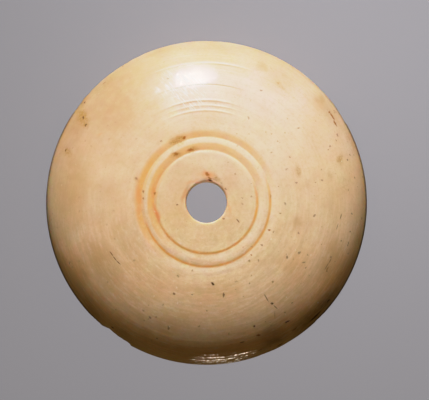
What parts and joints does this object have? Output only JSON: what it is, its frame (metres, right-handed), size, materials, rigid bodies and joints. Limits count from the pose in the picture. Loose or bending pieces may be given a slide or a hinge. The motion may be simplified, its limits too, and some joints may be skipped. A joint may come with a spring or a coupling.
{
  "type": "spindle whorl",
  "caption": "Domed bone spindle whorl, flat underneath, with a central hole for the spindle and two turned grooves around it; it weights a spindle so that it keeps spinning.",
  "frame": {"origin": "middle of the flat underside, on the axis of the hole", "axes": "+Z along the hole, up through the dome; +Y towards the top edge of the picture, +X towards its right edge"},
  "size_m": [0.0458, 0.0462, 0.012],
  "materials": {
    "bone": "satin"
  },
  "bodies": {
    "root": {"whorl": "bone"}
  },
  "joints": []
}
